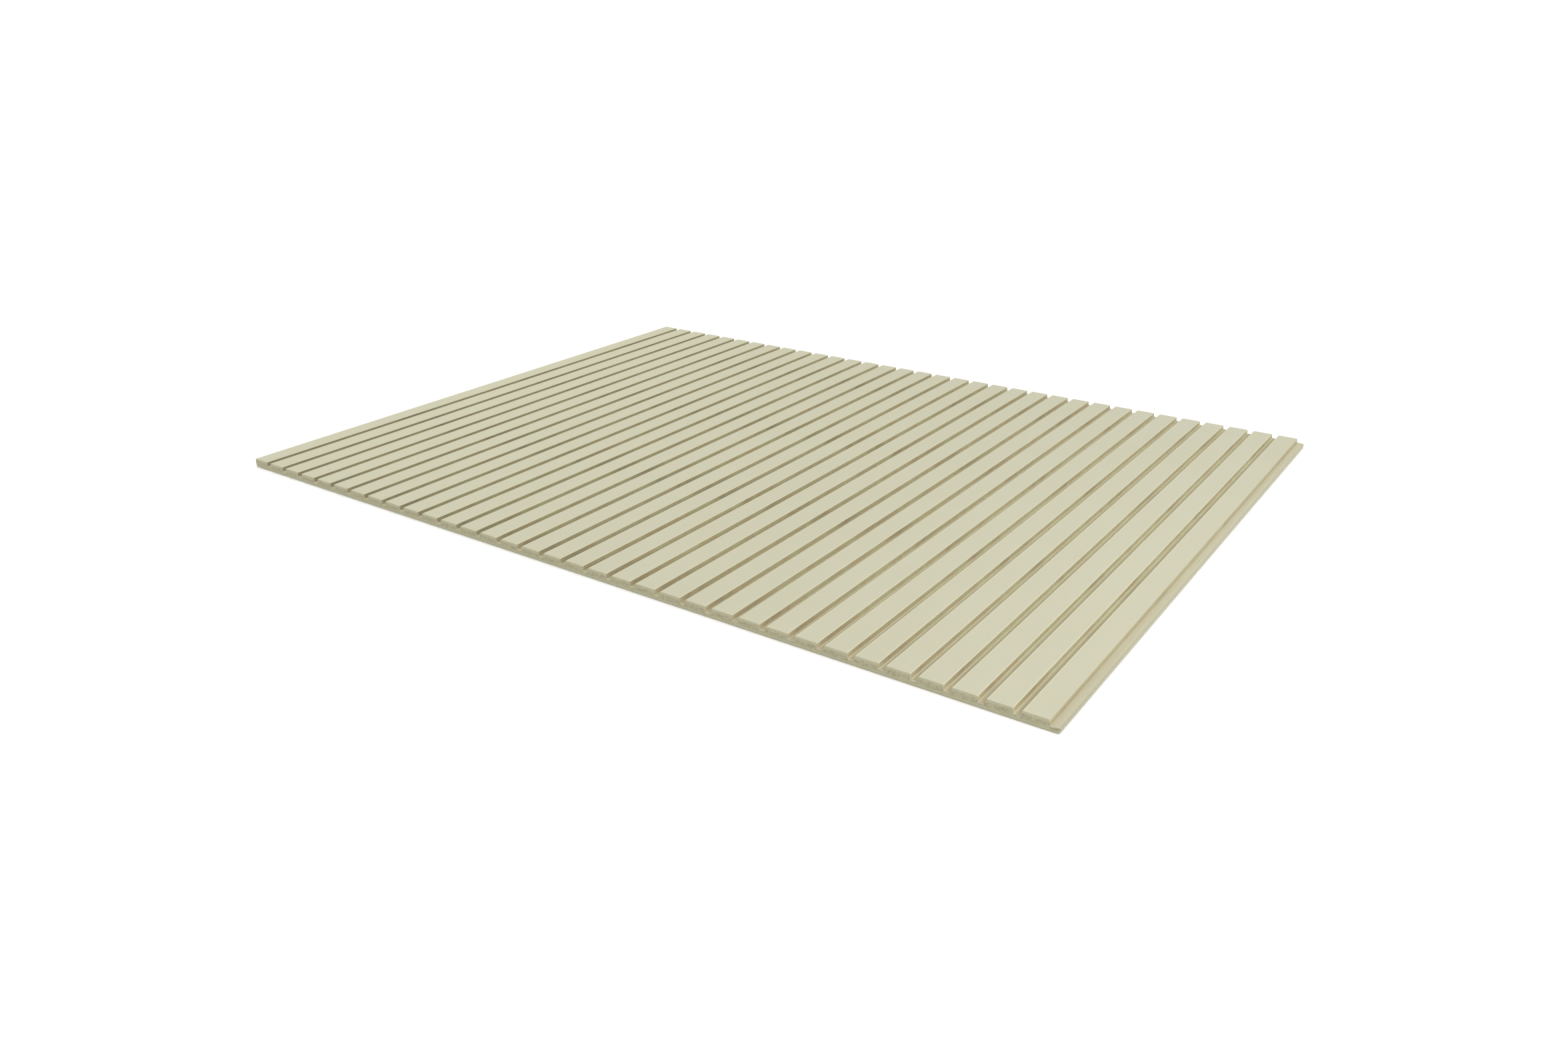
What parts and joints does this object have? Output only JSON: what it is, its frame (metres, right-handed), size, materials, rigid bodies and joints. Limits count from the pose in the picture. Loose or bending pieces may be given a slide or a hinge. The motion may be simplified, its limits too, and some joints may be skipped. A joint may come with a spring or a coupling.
{
  "type": "slatted wall panel",
  "caption": "Flat fibreboard wall panel with straight square grooves between raised slats and a thin lip along the side where the next panel meets it.",
  "frame": {"origin": "middle of the flat back, which lies on the floor", "axes": "+X across the slats towards the lip, +Y along the slats, +Z out of the slatted face"},
  "size_m": [1.22, 0.915, 0.012],
  "materials": {
    "fibreboard": "matt, unpainted, sanded face with raw machined grooves and sawn edges"
  },
  "bodies": {
    "root": {"slatted_panel": "fibreboard"}
  },
  "joints": []
}
